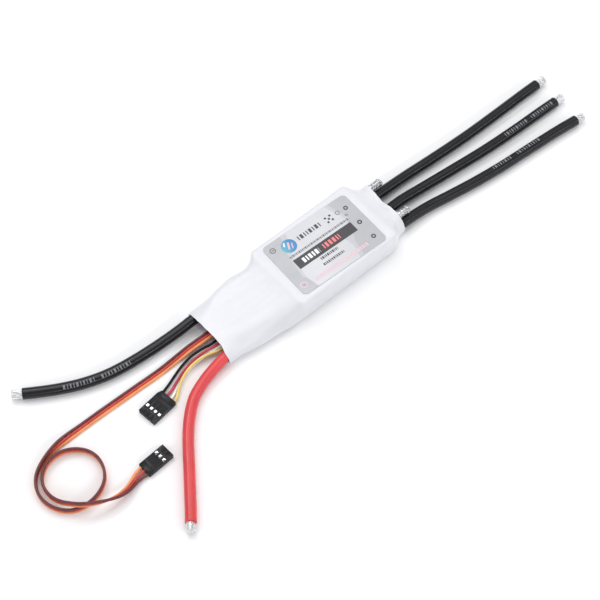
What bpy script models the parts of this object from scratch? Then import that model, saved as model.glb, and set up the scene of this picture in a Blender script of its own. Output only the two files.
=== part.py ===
"""Water-cooled brushless speed controller for model boats.

The frame is in metres with +Z up. X runs along the body, from the battery mouth at -X to the motor
mouth and the two water nipples at +X. The origin is the centre of the body's footprint.
"""
import math

import bmesh
import bpy
from mathutils import Matrix, Vector

MM = 0.001
GAP = 0.3 * MM

# Body
BLOCK_START = -18.0 * MM
BLOCK_END = 41.0 * MM
BLOCK_HEIGHT = 15.0 * MM
SLEEVE_WALL = 0.5 * MM
LABEL_SIZE = (52.2 * MM, 34.0 * MM, 0.25 * MM)
LABEL_CENTRE = (11.6 * MM, -0.6 * MM)
LABEL_TURN = math.radians(-2.2)
LABEL_CORNER = 2.5 * MM

# Stack inside the body, from the floor up
BOARD_BOTTOM = 0.8 * MM
BOARD_THICKNESS = 1.6 * MM
BOARD_HALF_WIDTH = 18.2 * MM
BOARD_EDGE = 40.6 * MM
TONGUE_END = -38.0 * MM
MOSFET_SIZE = (10.0 * MM, 11.7 * MM, 2.3 * MM)
MOSFET_COLUMNS = (4.0 * MM, 16.0 * MM, 28.0 * MM)
MOSFET_ROW = 7.5 * MM
PAD_THICKNESS = 0.5 * MM
PLATE_START = -3.0 * MM
PLATE_END = 40.5 * MM
PLATE_THICKNESS = 5.2 * MM
PLATE_HALF_WIDTH = 17.5 * MM
CONTROL_THICKNESS = 0.8 * MM

# Water path
CHANNEL_RADIUS = 1.5 * MM
CHANNEL_CROSS_X = 1.5 * MM
SOCKET_DEPTH = 6.0 * MM
NIPPLE_RADIUS = 2.0 * MM
NIPPLE_BORE = 1.3 * MM
NIPPLE_BARB = 2.2 * MM
NIPPLE_SPOTS = {"far": (12.0 * MM, 60.5 * MM), "near": (-9.0 * MM, 59.9 * MM)}
NIPPLE_HEIGHT = 8.7 * MM

# Power leads: 10 AWG silicone wire
LEAD_RADIUS = 2.8 * MM
TIP_RADIUS = 2.1 * MM
TIP_LENGTH = 4.8 * MM
LEAD_SPACING = 12.0 * MM
LEAD_ROUTES = {
    "motor_lead_a": [(41.5, 9.2, 4.2), (53, 9.2, 4.2), (64, 9.2, 3.4), (76, 9.0, 2.85), (95, 7.8, 2.85),
                     (118, 6.8, 2.85), (140, 6.7, 2.85), (158, 6.8, 2.85), (169, 6.7, 2.85)],
    "motor_lead_b": [(41.5, -1.3, 4.2), (53, -1.2, 4.2), (64, -0.9, 3.4), (76, -1.8, 2.85),
                     (95, -3.8, 2.85), (118, -6.0, 2.85), (140, -7.1, 2.85), (156, -7.5, 2.85),
                     (168, -7.9, 2.85)],
    "motor_lead_c": [(41.5, -11.8, 4.2), (53, -11.8, 4.2), (63, -11.8, 3.4), (73, -12.6, 2.85),
                     (85, -14.7, 2.85), (100, -17.1, 2.85), (117, -19.1, 2.85), (138, -20.7, 2.85),
                     (155, -22.1, 2.85), (167.4, -23.5, 2.85)],
    "battery_lead_negative": [(-38.3, 13.8, 4.2), (-50, 13.8, 4.2), (-60.5, 13.8, 4.2), (-70, 13.8, 3.6),
                              (-82, 14.4, 2.95), (-96, 15.5, 2.85), (-109, 17.6, 2.85), (-121, 21.6, 2.85),
                              (-131, 26.6, 2.85), (-139, 31.5, 2.85), (-145.6, 35.9, 2.85)],
    "battery_lead_positive": [(-38.3, -12.0, 4.2), (-50, -12.0, 4.2), (-60.5, -12.1, 4.2),
                              (-68.6, -13.1, 3.6), (-77, -15.0, 2.95), (-86, -18.7, 2.85),
                              (-93.4, -24.5, 2.85), (-99, -30.2, 2.85), (-104, -36.3, 2.85),
                              (-111.3, -46, 2.85), (-117.7, -54.4, 2.85), (-123.3, -61.8, 2.85),
                              (-127.2, -66.7, 2.85)],
}

# Signal wires
WIRE_RADIUS = 0.6 * MM
WIRE_SPACING = 3.6 * MM
RIBBON_PITCH = 1.5 * MM
PIN_PITCH = 2.54 * MM
FAN_OUT = 12.0 * MM

# Each servo ribbon point is x, y, z and the ribbon's roll in degrees: 0 lies flat, 90 stands on edge.
SERVO_ROUTE = [
    (-36.2, 3.0, 3.4, 0), (-48, 3.0, 3.6, 0), (-60.5, 2.8, 3.6, 0), (-70, 3.6, 2.3, 0), (-78, 3.8, 1.1, 0),
    (-89, 3.5, 0.75, 0), (-103, 3.9, 0.75, 0), (-113, 4.2, 0.75, 0), (-124, 4.5, 0.75, 0),
    (-135, 4.6, 0.8, 3), (-143, 4.5, 1.3, 25), (-150, 3.9, 2.0, 60), (-157, 2.3, 2.3, 85),
    (-163, -0.4, 2.3, 90), (-167.1, -3.9, 2.3, 90), (-169.9, -8.9, 2.3, 90), (-170.6, -14.8, 2.3, 90),
    (-168.9, -20.9, 2.3, 90), (-165.2, -25.7, 2.3, 90), (-160.4, -28.4, 2.3, 90),
    (-155.2, -29, 2.3, 90), (-150.4, -28.3, 2.3, 90), (-146, -26.4, 2.3, 90), (-142.4, -23.3, 2.3, 90),
    (-139.9, -18.7, 2.3, 90), (-139.1, -13.3, 2.3, 90), (-140.4, -8.3, 2.3, 90),
    (-143.3, -4.4, 2.3, 90), (-146.9, -1.7, 2.3, 90), (-151, -0.2, 2.3, 90), (-155.3, -0.1, 2.3, 90),
    (-159.7, -1.4, 2.3, 90), (-163.5, -4.2, 2.3, 90), (-166.2, -8.5, 2.4, 90), (-167, -14, 2.9, 90),
    (-165.9, -19.7, 4.1, 90), (-163.3, -24.7, 5.9, 90), (-160, -28.8, 7.0, 90), (-156.3, -31.5, 6.9, 86),
    (-152.2, -33.5, 6.2, 78), (-148, -34.9, 5.3, 62), (-143.3, -35.6, 4.0, 42), (-138.6, -35.2, 2.8, 22),
    (-134.4, -33.9, 1.9, 7), (-130.6, -32.7, 1.4, 0), (-124.6, -32.15, 1.25, 0),
]
SERVO_WIRES = {"servo_wire_brown": 1, "servo_wire_red": 0, "servo_wire_orange": -1}
PROGRAM_ROUTES = {
    "program_wire_black": [(-36.2, -1.6, 3.4), (-48, -2.0, 3.6), (-60.5, -2.2, 3.6), (-67.5, -0.8, 2.7),
                           (-73.5, -0.1, 1.6), (-79.5, -0.9, 0.9), (-85.2, -2.7, 0.75),
                           (-90.4, -4.7, 1.0), (-95.4, -6.2, 1.25), (-98.0, -6.5, 1.25)],
    "program_wire_red": [(-36.2, -3.3, 3.4), (-48, -3.7, 3.6), (-60.5, -4.0, 3.6), (-67, -2.8, 2.6),
                         (-73.6, -2.4, 1.4), (-80.3, -3.5, 0.8), (-86.5, -5.8, 0.75),
                         (-91.3, -7.9, 1.0), (-95.1, -8.7, 1.25), (-97.7, -9.0, 1.25)],
    "program_wire_white": [(-36.2, -5.0, 3.4), (-48, -5.4, 3.5), (-60.5, -5.7, 3.3), (-66, -4.7, 2.1),
                           (-71, -4.2, 1.35), (-77, -4.4, 0.7), (-83, -6.4, 0.7), (-88.3, -8.5, 0.75),
                           (-91.9, -10.4, 1.1), (-94.8, -11.2, 1.25), (-97.4, -11.5, 1.25)],
    "program_wire_yellow": [(-36.2, -6.7, 3.4), (-48, -7.1, 3.7), (-60.5, -7.4, 3.9), (-65.5, -5.8, 3.7),
                            (-70.7, -4.5, 3.1), (-77, -4.6, 2.4), (-83, -6.5, 2.2), (-88.3, -9.8, 1.9),
                            (-91.9, -12.7, 1.5), (-94.5, -13.7, 1.25), (-97.1, -14.0, 1.25)],
}

# Plug housings: name, pins, place of the middle and heading of the open end
PLUG_LENGTH = 14.6 * MM
PLUG_HEIGHT = 2.5 * MM
PLUG_CAVITY = 1.9 * MM
PLUG_PIN_HOLE = 0.9 * MM
PLUG_WINDOW = (1.5 * MM, 1.2 * MM)
PLUGS = {
    "servo": (3, (-119.5, -31.9), 2.8),
    "program": (4, (-101.9, -10.7), 186.5),
}


def clear_scene():
    for found in list(bpy.data.objects):
        bpy.data.objects.remove(found, do_unlink=True)


def make_collection(name):
    collection = bpy.data.collections.new(name)
    bpy.context.scene.collection.children.link(collection)
    return collection


def make_material(name, colour, roughness, metallic=0.0):
    material = bpy.data.materials.new(name)
    material.use_nodes = True
    shader = material.node_tree.nodes["Principled BSDF"]
    shader.inputs["Base Color"].default_value = (*colour, 1.0)
    shader.inputs["Roughness"].default_value = roughness
    shader.inputs["Metallic"].default_value = metallic
    return material


def add_object(name, data, material, collection):
    """Link a new object that holds data and wears material."""
    new = bpy.data.objects.new(name, data)
    if material:
        data.materials.append(material)
    collection.objects.link(new)
    return new


def mesh_from(name, working):
    mesh = bpy.data.meshes.new(name)
    working.to_mesh(mesh)
    working.free()
    return mesh


def add_bevel(target, width, segments=2):
    bevel = target.modifiers.new("rounded edges", "BEVEL")
    bevel.width = width
    bevel.segments = segments
    bevel.limit_method = "ANGLE"


def add_box(name, low, high, material, collection, rounding=0.0, segments=2):
    """A box between two corners, with its edges rounded."""
    low, high = Vector(low), Vector(high)
    size = high - low
    working = bmesh.new()
    bmesh.ops.create_cube(working, size=1.0, matrix=Matrix.Diagonal((*size, 1.0)))
    box = add_object(name, mesh_from(name, working), material, collection)
    box.location = (low + high) / 2
    if rounding:
        add_bevel(box, rounding, segments)
    return box


def add_rod(name, start, end, radius, material, collection, sides=16):
    """A round bar between two points."""
    start, end = Vector(start), Vector(end)
    working = bmesh.new()
    bmesh.ops.create_cone(working, cap_ends=True, segments=sides, radius1=radius, radius2=radius,
                          depth=(end - start).length)
    rod = add_object(name, mesh_from(name, working), material, collection)
    rod.location = (start + end) / 2
    rod.rotation_euler = (end - start).to_track_quat("Z", "X").to_euler()
    return rod


def add_turned(name, profile, steps, material, collection):
    """A turned piece: the closed profile's radius and height pairs run round the Z axis."""
    working = bmesh.new()
    corners = [working.verts.new((radius, 0.0, height)) for radius, height in profile]
    for first, second in zip(corners, corners[1:] + corners[:1]):
        if first.co.x > 0 or second.co.x > 0:
            working.edges.new((first, second))
    turned = add_object(name, mesh_from(name, working), material, collection)
    screw = turned.modifiers.new("turned", "SCREW")
    screw.steps = steps
    screw.render_steps = steps
    screw.use_merge_vertices = True
    screw.merge_threshold = 0.01 * MM
    return turned


def cut(target, cutter, operation="DIFFERENCE"):
    boolean = target.modifiers.new(cutter.name, "BOOLEAN")
    boolean.operation = operation
    boolean.object = cutter


def as_cutter(shape):
    shape.hide_render = True
    shape.display_type = "WIRE"
    return shape


def taut_outline(rounds, steps=5):
    """The outline of a film pulled tight round four rods, each a centre y, a centre z and a radius.

    The rods run anticlockwise, and each keeps steps + 1 points of its own arc.
    """
    angles = []
    for (y0, z0, r0), (y1, z1, r1) in zip(rounds, rounds[1:] + rounds[:1]):
        span = math.hypot(y1 - y0, z1 - z0)
        angles.append(math.atan2(z1 - z0, y1 - y0) - math.pi / 2 + math.asin((r0 - r1) / span))
    outline = []
    for (y, z, radius), before, after in zip(rounds, angles[-1:] + angles[:-1], angles):
        turn = (after - before) % math.tau
        for step in range(steps + 1):
            angle = before + turn * step / steps
            outline.append((y + radius * math.cos(angle), z + radius * math.sin(angle)))
    return outline


def sleeve_sections():
    """Stations along the sleeve: x, then its four corner rounds from the lower near one, in mm."""
    block = [(-18, 2, 2), (18, 2, 2), (18, 13, 2), (-18, 13, 2)]
    return [
        (-60.5, [(-12.1, 4.2, 3.8), (13.8, 4.2, 3.75), (7.0, 5.4, 3.6), (-5.5, 5.4, 3.6)]),
        (-54.0, [(-12.5, 3.9, 3.8), (14.3, 4.0, 3.8), (10.5, 6.0, 3.8), (-8.0, 6.0, 3.8)]),
        (-47.0, [(-13.6, 4.1, 4.1), (14.3, 4.0, 4.0), (13.6, 6.6, 4.0), (-10.0, 6.4, 4.2)]),
        (-40.0, [(-14.4, 4.2, 4.2), (14.8, 4.0, 4.0), (14.2, 7.2, 4.2), (-11.4, 6.9, 4.5)]),
        (-33.0, [(-15.0, 4.2, 4.2), (15.0, 4.0, 4.0), (14.6, 7.5, 4.5), (-12.4, 7.4, 4.6)]),
        (-28.0, [(-16.0, 4.0, 4.0), (14.6, 4.0, 4.0), (13.2, 8.2, 4.4), (-13.4, 8.2, 4.4)]),
        (-24.0, [(-16.8, 3.2, 3.2), (15.0, 3.6, 3.6), (12.8, 9.4, 4.0), (-14.6, 9.5, 3.9)]),
        (-20.5, [(-17.5, 2.5, 2.5), (16.5, 3.0, 3.0), (14.5, 11.0, 3.5), (-16.2, 11.6, 2.9)]),
        (BLOCK_START / MM, block),
        (BLOCK_END / MM, block),
        (43.0, [(-17.0, 2.4, 2.4), (17.0, 2.4, 2.4), (16.8, 12.2, 2.4), (-16.8, 12.2, 2.4)]),
        (44.5, [(-15.5, 3.0, 3.0), (15.5, 3.0, 3.0), (14.2, 11.0, 2.9), (-14.4, 11.0, 2.9)]),
        (46.5, [(-13.5, 3.4, 3.4), (13.0, 3.4, 3.4), (12.6, 10.0, 3.1), (-11.8, 10.0, 3.1)]),
        (49.0, [(-12.2, 3.8, 3.7), (10.6, 3.8, 3.7), (12.1, 9.0, 3.1), (-9.8, 9.0, 3.1)]),
        (53.0, [(-11.8, 4.2, 3.7), (9.2, 4.2, 3.7), (12.0, 8.7, 3.0), (-9.0, 8.7, 3.0)]),
    ]


def build_sleeve(collection):
    """The heat-shrink sleeve: a loft through its sections, open at both mouths."""
    working = bmesh.new()
    rings = []
    for x, rounds in sleeve_sections():
        corners = [working.verts.new((x * MM, y * MM, z * MM)) for y, z in taut_outline(rounds)]
        rings.append([working.edges.new(pair) for pair in zip(corners, corners[1:] + corners[:1])])
    for first, second in zip(rings, rings[1:]):
        bmesh.ops.bridge_loops(working, edges=first + second)
    bmesh.ops.recalc_face_normals(working, faces=working.faces)
    white = make_material("white heat shrink", (0.86, 0.86, 0.89), 0.38)
    sleeve = add_object("heat_shrink_sleeve", mesh_from("heat_shrink_sleeve", working), white, collection)
    shell = sleeve.modifiers.new("wall", "SOLIDIFY")
    shell.thickness = SLEEVE_WALL
    shell.offset = -1.0
    return sleeve


def flat_outline(name, corners, thickness, material, collection):
    """A flat plate from the corners of its outline, centred on its own mid plane."""
    curve = bpy.data.curves.new(name, "CURVE")
    curve.dimensions = "2D"
    curve.fill_mode = "BOTH"
    curve.extrude = thickness / 2
    spline = curve.splines.new("POLY")
    spline.points.add(len(corners) - 1)
    for point, (x, y) in zip(spline.points, corners):
        point.co = (x, y, 0.0, 1.0)
    spline.use_cyclic_u = True
    return add_object(name, curve, material, collection)


def rounded_rectangle(length, width, radius, steps=5):
    corners = []
    for quarter, (side_x, side_y) in enumerate([(1, 1), (-1, 1), (-1, -1), (1, -1)]):
        centre_x = side_x * (length / 2 - radius)
        centre_y = side_y * (width / 2 - radius)
        for step in range(steps + 1):
            angle = math.pi / 2 * (quarter + step / steps)
            corners.append((centre_x + radius * math.cos(angle), centre_y + radius * math.sin(angle)))
    return corners


def build_label(collection):
    silver = make_material("silver label", (0.72, 0.74, 0.76), 0.3)
    length, width, thickness = LABEL_SIZE
    label = flat_outline("rating_label", rounded_rectangle(length, width, LABEL_CORNER), thickness,
                         silver, collection)
    label.location = (*LABEL_CENTRE, BLOCK_HEIGHT + GAP + thickness / 2)
    label.rotation_euler = (0.0, 0.0, LABEL_TURN)


def stack_levels():
    """The lower faces of the stacked pieces, worked out from the floor up."""
    parts_on_board = BOARD_BOTTOM + BOARD_THICKNESS + GAP
    pad = parts_on_board + MOSFET_SIZE[2] + GAP
    plate = pad + PAD_THICKNESS + GAP
    control = plate + PLATE_THICKNESS + GAP
    chips = control + CONTROL_THICKNESS + GAP
    return parts_on_board, pad, plate, control, chips


def build_power_board(collection):
    """The main board, with a narrower tongue that carries the battery end."""
    green = make_material("power board laminate", (0.02, 0.16, 0.08), 0.45)
    tongue_start = BLOCK_START + 1.5 * MM
    tongue_near = -14.6 * MM
    tongue_far = 15.0 * MM
    outline = [(BOARD_EDGE, -BOARD_HALF_WIDTH), (BOARD_EDGE, BOARD_HALF_WIDTH),
               (tongue_start, BOARD_HALF_WIDTH), (tongue_start, tongue_far), (TONGUE_END, tongue_far),
               (TONGUE_END, tongue_near), (tongue_start, tongue_near), (tongue_start, -BOARD_HALF_WIDTH)]
    board = flat_outline("power_board", outline, BOARD_THICKNESS, green, collection)
    board.location.z = BOARD_BOTTOM + BOARD_THICKNESS / 2


def build_mosfets(collection):
    black = make_material("power transistor", (0.03, 0.03, 0.035), 0.5)
    length, width, height = MOSFET_SIZE
    level = stack_levels()[0]
    number = 1
    for x in MOSFET_COLUMNS:
        for y in (MOSFET_ROW, -MOSFET_ROW):
            low = (x - length / 2, y - width / 2, level)
            high = (x + length / 2, y + width / 2, level + height)
            add_box(f"mosfet_{number}", low, high, black, collection, 0.2 * MM, 1)
            number += 1


def build_thermal_pad(collection):
    grey = make_material("thermal pad", (0.45, 0.5, 0.55), 0.8)
    level = stack_levels()[1]
    add_box("thermal_pad", (-2.0 * MM, -14.5 * MM, level), (34.0 * MM, 14.5 * MM, level + PAD_THICKNESS),
            grey, collection)


def build_cooling_plate(collection, cutters):
    """The plate is drilled from its motor end, and a plugged cross hole joins the two bores."""
    metal = make_material("cooling plate", (0.7, 0.71, 0.72), 0.35, 1.0)
    level = stack_levels()[2]
    plate = add_box("cooling_plate", (PLATE_START, -PLATE_HALF_WIDTH, level),
                    (PLATE_END, PLATE_HALF_WIDTH, level + PLATE_THICKNESS), metal, collection, 0.4 * MM)
    beyond = 2.0 * MM
    for side, (y, _) in NIPPLE_SPOTS.items():
        bore = add_rod(f"bore {side}", (CHANNEL_CROSS_X, y, NIPPLE_HEIGHT),
                       (PLATE_END + beyond, y, NIPPLE_HEIGHT), CHANNEL_RADIUS, None, cutters)
        cut(plate, as_cutter(bore))
        socket = add_rod(f"socket {side}", (PLATE_END - SOCKET_DEPTH, y, NIPPLE_HEIGHT),
                         (PLATE_END + beyond, y, NIPPLE_HEIGHT), NIPPLE_RADIUS + GAP, None, cutters, 24)
        cut(plate, as_cutter(socket))
    cross = add_rod("cross hole", (CHANNEL_CROSS_X, -PLATE_HALF_WIDTH - beyond, NIPPLE_HEIGHT),
                    (CHANNEL_CROSS_X, NIPPLE_SPOTS["far"][0], NIPPLE_HEIGHT), CHANNEL_RADIUS * 0.9, None, cutters)
    cut(plate, as_cutter(cross))
    plug_length = 5.0 * MM
    plug_outer = -PLATE_HALF_WIDTH + 0.4 * MM
    add_rod("channel_plug", (CHANNEL_CROSS_X, plug_outer, NIPPLE_HEIGHT),
            (CHANNEL_CROSS_X, plug_outer + plug_length, NIPPLE_HEIGHT), CHANNEL_RADIUS * 0.9 - GAP,
            metal, collection)


def nipple_profile(length):
    """Radius and distance from the root, down the outside from the tip and back up the bore."""
    barb = 0.8 * MM
    profile = [(NIPPLE_RADIUS - 0.2 * MM, length)]
    for distance in (1.0 * MM, 5.2 * MM):
        profile += [(NIPPLE_BARB, length - distance), (NIPPLE_BARB, length - distance - barb),
                    (NIPPLE_RADIUS, length - distance - barb - 0.2 * MM)]
    profile += [(NIPPLE_RADIUS, 0.0), (NIPPLE_BORE, 0.0), (NIPPLE_BORE, length)]
    return profile


def build_nipples(collection):
    metal = make_material("water nipple", (0.78, 0.78, 0.8), 0.3, 1.0)
    root = PLATE_END - SOCKET_DEPTH + GAP
    for side, (y, tip) in NIPPLE_SPOTS.items():
        nipple = add_turned(f"water_nipple_{side}", nipple_profile(tip - root), 24, metal, collection)
        nipple.location = (root, y, NIPPLE_HEIGHT)
        nipple.rotation_euler = (0.0, math.pi / 2, 0.0)


def build_control_stack(collection):
    """The control board above the plate, its chips, and the header down to the power board."""
    green = make_material("control board laminate", (0.03, 0.2, 0.1), 0.4)
    black = make_material("chip package", (0.035, 0.035, 0.04), 0.55)
    iron = make_material("inductor core", (0.16, 0.16, 0.17), 0.6)
    parts_on_board, _, _, control, chips = stack_levels()
    board_low = (-7.0 * MM, -PLATE_HALF_WIDTH, control)
    board_high = (PLATE_END, PLATE_HALF_WIDTH, control + CONTROL_THICKNESS)
    add_box("control_board", board_low, board_high, green, collection)
    add_box("board_header", (-6.5 * MM, -8.0 * MM, parts_on_board), (-4.0 * MM, 8.0 * MM, control - GAP),
            black, collection, 0.2 * MM, 1)
    chip_list = {
        "microcontroller": (14.0, 0.0, 7.0, 7.0, 1.0),
        "gate_driver_a": (32.0, 10.0, 4.0, 4.0, 0.9),
        "gate_driver_b": (32.0, 0.0, 4.0, 4.0, 0.9),
        "gate_driver_c": (32.0, -10.0, 4.0, 4.0, 0.9),
        "bec_regulator": (2.0, 9.0, 6.5, 6.0, 1.3),
    }
    for name, (x, y, length, width, height) in chip_list.items():
        low = ((x - length / 2) * MM, (y - width / 2) * MM, chips)
        high = ((x + length / 2) * MM, (y + width / 2) * MM, chips + height * MM)
        add_box(name, low, high, black, collection, 0.15 * MM, 1)
    add_box("bec_inductor", (-1.5 * MM, -12.5 * MM, chips), (4.5 * MM, -6.5 * MM, chips + 1.3 * MM),
            iron, collection, 0.4 * MM)


def capacitor_profile(radius, length):
    """A rolled can: rounded at its top, with the crimp groove near its base."""
    edge = 0.4 * MM
    groove = 0.4 * MM
    crimp = length * 0.14
    return [(0.0, length), (radius - edge, length), (radius, length - edge),
            (radius, crimp + groove), (radius - groove, crimp), (radius, crimp - groove),
            (radius, edge), (radius - edge, 0.0), (0.0, 0.0)]


def build_capacitors(collection):
    """Two cans lie across the block, and two smaller ones lie along the tongue."""
    jacket = make_material("capacitor sleeve", (0.05, 0.06, 0.12), 0.35)
    level = stack_levels()[0]
    large, small = 5.0 * MM, 4.0 * MM
    large_x = -13.2 * MM
    for side, sign in (("far", 1), ("near", -1)):
        can = add_turned(f"capacitor_block_{side}", capacitor_profile(large, 16.0 * MM), 20, jacket, collection)
        can.location = (large_x, sign * 1.0 * MM, level + large)
        can.rotation_euler = (-sign * math.pi / 2, 0.0, 0.0)
        can = add_turned(f"capacitor_neck_{side}", capacitor_profile(small, 14.0 * MM), 20, jacket, collection)
        can.location = (-20.5 * MM, sign * 4.3 * MM, level + small)
        can.rotation_euler = (0.0, -math.pi / 2, 0.0)


def build_terminals(collection):
    """The tinned solder joints that hold the stripped ends of the leads on the power board."""
    tin = make_material("solder joint", (0.75, 0.76, 0.78), 0.35, 1.0)
    level = stack_levels()[0]
    half_width = 2.2 * MM
    height = 3.0 * MM
    length = 5.5 * MM
    for name, route in LEAD_ROUTES.items():
        x, y, _ = (value * MM for value in route[0])
        inward = -1 if x > 0 else 1
        ends = sorted((x + inward * 3 * GAP, x + inward * (3 * GAP + length)))
        add_box(name.replace("lead", "terminal"), (ends[0], y - half_width, level),
                (ends[1], y + half_width, level + height), tin, collection, 0.9 * MM)


def smooth_route(points, spacing):
    """A smooth curve through the points, read at even steps. Extra values ride along with x, y, z."""
    dense = []
    ends = [points[0], *points, points[-1]]
    pieces = 12
    for before, first, second, after in zip(ends, ends[1:], ends[2:], ends[3:]):
        for piece in range(pieces):
            t = piece / pieces
            dense.append(tuple(
                0.5 * (2 * b + (c - a) * t + (2 * a - 5 * b + 4 * c - d) * t ** 2
                       + (3 * b - a - 3 * c + d) * t ** 3)
                for a, b, c, d in zip(before, first, second, after)))
    dense.append(tuple(points[-1]))
    distances = [0.0]
    for first, second in zip(dense, dense[1:]):
        distances.append(distances[-1] + math.dist(first[:3], second[:3]))
    count = max(2, round(distances[-1] / spacing))
    route = []
    index = 0
    for number in range(count + 1):
        wanted = distances[-1] * number / count
        while index < len(dense) - 2 and distances[index + 1] < wanted:
            index += 1
        share = (wanted - distances[index]) / (distances[index + 1] - distances[index])
        route.append(tuple(a + (b - a) * min(share, 1.0) for a, b in zip(dense[index], dense[index + 1])))
    return route


def add_tube(name, points, radius, material, collection, resolution=2):
    curve = bpy.data.curves.new(name, "CURVE")
    curve.dimensions = "3D"
    curve.bevel_depth = radius
    curve.bevel_resolution = resolution
    curve.use_fill_caps = True
    spline = curve.splines.new("POLY")
    spline.points.add(len(points) - 1)
    for point, place in zip(spline.points, points):
        point.co = (*place, 1.0)
    return add_object(name, curve, material, collection)


def build_power_leads(collection):
    """The jackets of the power leads, and the tinned bare strands at their free ends."""
    black = make_material("black silicone", (0.02, 0.02, 0.025), 0.4)
    red = make_material("red silicone", (0.75, 0.08, 0.08), 0.4)
    tin = make_material("tinned strands", (0.75, 0.75, 0.77), 0.35, 1.0)
    for name, route in LEAD_ROUTES.items():
        points = [Vector(point) * MM for point in smooth_route(route, LEAD_SPACING / MM)]
        jacket = red if name.endswith("positive") else black
        add_tube(name, points, LEAD_RADIUS, jacket, collection, 4)
        heading = (points[-1] - points[-2]).normalized()
        heading.z = 0.0
        start = points[-1] + heading * GAP
        add_rod(name.replace("lead", "tip"), start, start + heading * TIP_LENGTH, TIP_RADIUS, tin,
                collection)


def ribbon_wires():
    """The servo ribbon's three wires, side by side across a band that rolls and fans out at the plug."""
    centre = smooth_route([(x * MM, y * MM, z * MM, roll) for x, y, z, roll in SERVO_ROUTE], WIRE_SPACING)
    places = [Vector(point[:3]) for point in centre]
    wires = {name: [] for name in SERVO_WIRES}
    for index, place in enumerate(places):
        ahead = places[min(index + 1, len(places) - 1)] - places[max(index - 1, 0)]
        right = ahead.cross(Vector((0.0, 0.0, 1.0))).normalized()
        roll = math.radians(centre[index][3])
        across = right * math.cos(roll) + Vector((0.0, 0.0, math.sin(roll)))
        left_to_go = (len(places) - 1 - index) * WIRE_SPACING
        fanned = max(0.0, 1.0 - left_to_go / FAN_OUT)
        pitch = RIBBON_PITCH + (PIN_PITCH - RIBBON_PITCH) * fanned ** 2 * (3 - 2 * fanned)
        for name, side in SERVO_WIRES.items():
            wires[name].append(place + across * side * pitch)
    return wires


def build_signal_wires(collection):
    colours = {
        "brown": (0.16, 0.04, 0.03), "red": (0.7, 0.08, 0.05), "orange": (0.9, 0.35, 0.12),
        "black": (0.02, 0.02, 0.02), "white": (0.85, 0.85, 0.83), "yellow": (0.85, 0.62, 0.1),
    }
    routes = ribbon_wires()
    for name, route in PROGRAM_ROUTES.items():
        routes[name] = [Vector(point) * MM for point in smooth_route(route, WIRE_SPACING / MM)]
    for name, points in routes.items():
        colour = name.rsplit("_", 1)[1]
        insulation = bpy.data.materials.get(f"{colour} insulation")
        if not insulation:
            insulation = make_material(f"{colour} insulation", colours[colour], 0.45)
        add_tube(name, points, WIRE_RADIUS, insulation, collection)


def plug_frame(centre, heading):
    """The plug's own frame: X towards its open end, Y to its left, Z up from the floor."""
    return (Matrix.Translation((centre[0] * MM, centre[1] * MM, 0.0))
            @ Matrix.Rotation(math.radians(heading), 4, "Z"))


def build_plug(name, pins, centre, heading, collection, cutters):
    """A crimp housing with a cavity for each wire, a latch window over it and its contact inside."""
    black = make_material(f"{name} plug", (0.025, 0.025, 0.03), 0.5)
    metal = make_material(f"{name} contacts", (0.8, 0.76, 0.66), 0.3, 1.0)
    place = plug_frame(centre, heading)
    half, width = PLUG_LENGTH / 2, pins * PIN_PITCH
    housing = add_box(f"{name}_plug_housing", (-half, -width / 2, 0.0), (half, width / 2, PLUG_HEIGHT),
                      black, collection, 0.25 * MM)
    housing.matrix_world = place @ Matrix.Translation((0.0, 0.0, PLUG_HEIGHT / 2))
    middle = PLUG_HEIGHT / 2
    wall = 2.2 * MM
    beyond = 1.0 * MM
    window_x = 1.7 * MM
    for pin in range(pins):
        y = (pin - (pins - 1) / 2) * PIN_PITCH
        cavity = PLUG_CAVITY / 2
        hole = PLUG_PIN_HOLE / 2
        length, breadth = PLUG_WINDOW
        cut_boxes = {
            "cavity": ((-half - beyond, y - cavity, middle - cavity), (half - wall, y + cavity, middle + cavity)),
            "hole": ((half - wall - beyond, y - hole, middle - hole), (half + beyond, y + hole, middle + hole)),
            "window": ((window_x, y - breadth / 2, middle), (window_x + length, y + breadth / 2,
                                                             PLUG_HEIGHT + beyond)),
        }
        for kind, (low, high) in cut_boxes.items():
            cutter = add_box(f"{name} {kind} {pin + 1}", low, high, None, cutters)
            cutter.matrix_world = place @ Matrix.Translation(cutter.location)
            cut(housing, as_cutter(cutter))
        grip = 0.6 * MM
        contact = add_box(f"{name}_contact_{pin + 1}", (-half + 3.7 * MM, y - grip, middle - grip),
                          (half - wall - GAP, y + grip, middle + grip), metal, collection, 0.15 * MM, 1)
        contact.matrix_world = place @ Matrix.Translation(contact.location)


def build_controller():
    clear_scene()
    parts = make_collection("electronic_speed_controller")
    cutters = make_collection("cutters")
    build_sleeve(parts)
    build_label(parts)
    build_power_board(parts)
    build_mosfets(parts)
    build_thermal_pad(parts)
    build_cooling_plate(parts, cutters)
    build_nipples(parts)
    build_control_stack(parts)
    build_capacitors(parts)
    build_terminals(parts)
    build_power_leads(parts)
    build_signal_wires(parts)
    for name, (pins, centre, heading) in PLUGS.items():
        build_plug(name, pins, centre, heading, parts, cutters)


build_controller()
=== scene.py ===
"""Looks of the water-cooled boat speed controller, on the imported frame. Lengths are in metres unless a
name or comment says mm. +X is the motor end, +Y the far side, +Z up from the floor."""
from math import asin, atan2, cos, dist, exp, hypot, pi, radians, sin, tau

import bmesh
import bpy
from mathutils import Matrix, Vector, noise


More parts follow.
